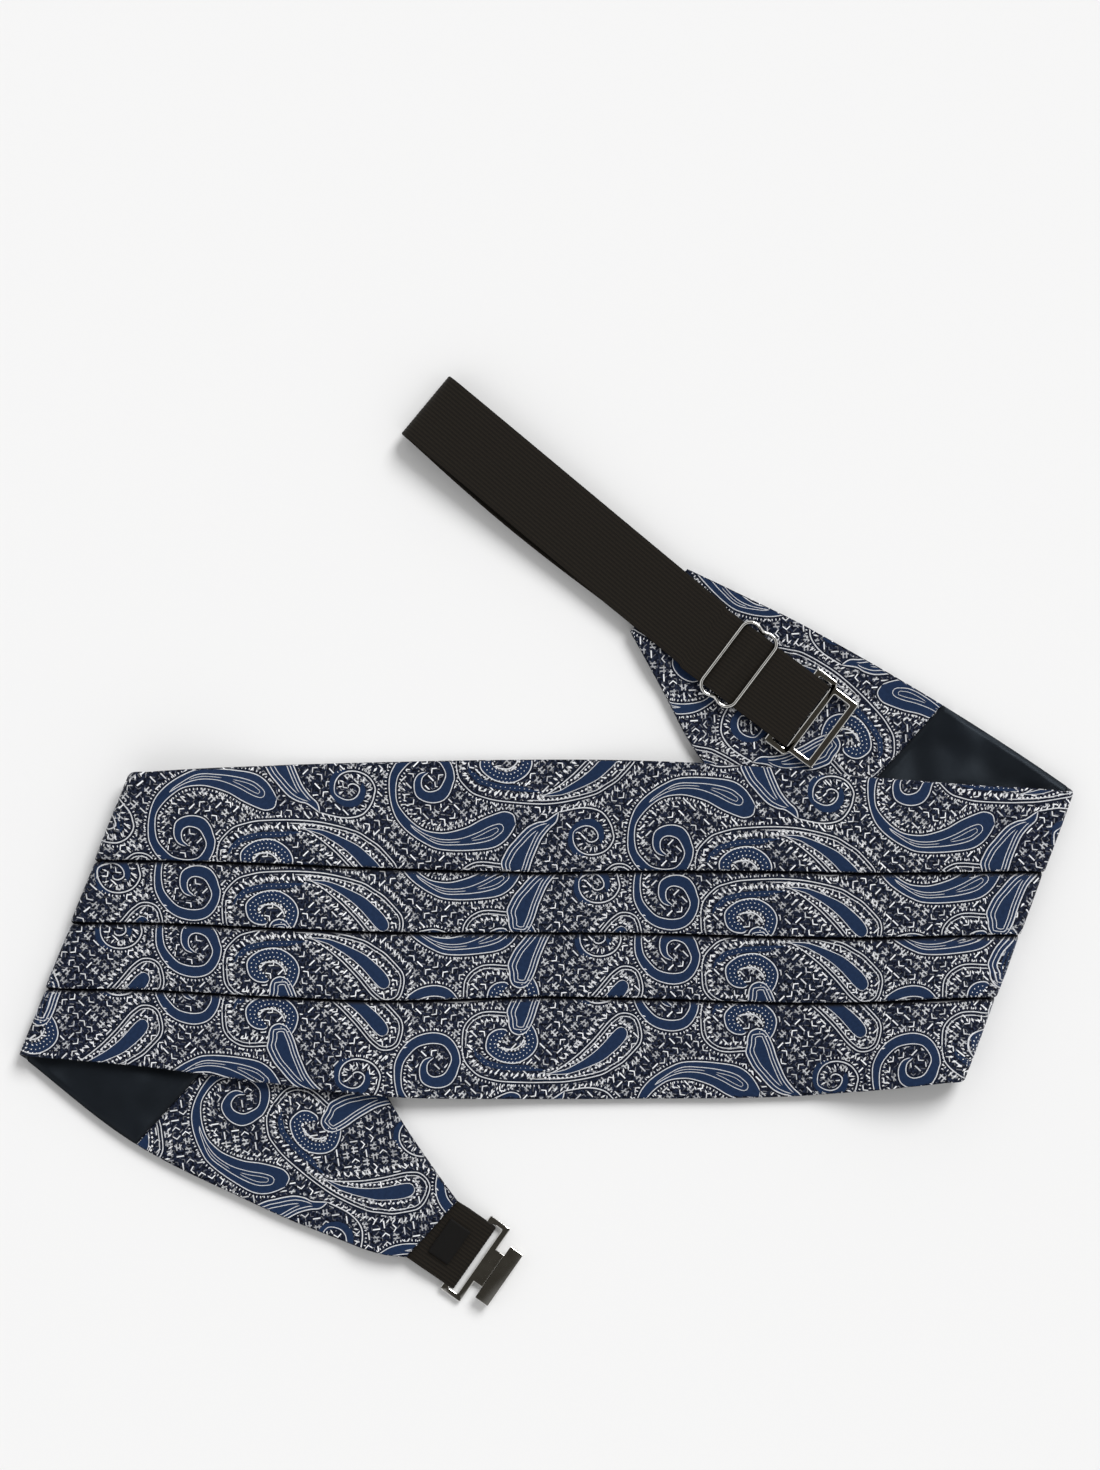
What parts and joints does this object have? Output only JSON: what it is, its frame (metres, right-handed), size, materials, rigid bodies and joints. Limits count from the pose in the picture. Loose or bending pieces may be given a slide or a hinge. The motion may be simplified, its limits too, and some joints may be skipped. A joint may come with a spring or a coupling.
{
  "type": "cummerbund",
  "caption": "Pleated formal waist sash laid flat with its wings folded behind, an elastic strap with slide and eye clasp, and a hook clasp.",
  "frame": {"origin": "middle of the foot of the whole piece as it lies, on the surface it rests on", "axes": "+X along the pleated front towards its right-hand fold, +Y up the front towards the adjuster strap, +Z off the surface"},
  "size_m": [0.3942, 0.3476, 0.0144],
  "materials": {
    "paisley_silk": "woven silk, satin navy figure with silver threads",
    "satin_lining": "smooth dark satin",
    "elastic": "matt ribbed elastic webbing",
    "label_cloth": "fine matt woven tape, left bare",
    "nickel": "polished nickel plate"
  },
  "bodies": {
    "root": {"pleated_front": "paisley_silk", "lining": "satin_lining", "left_wing_facing": "paisley_silk", "right_wing_facing": "paisley_silk", "hook_tab": "elastic", "label": "label_cloth", "hook_clasp": "nickel", "adjuster_strap": "elastic", "slide_adjuster": "nickel", "eye_clasp": "nickel"}
  },
  "joints": []
}
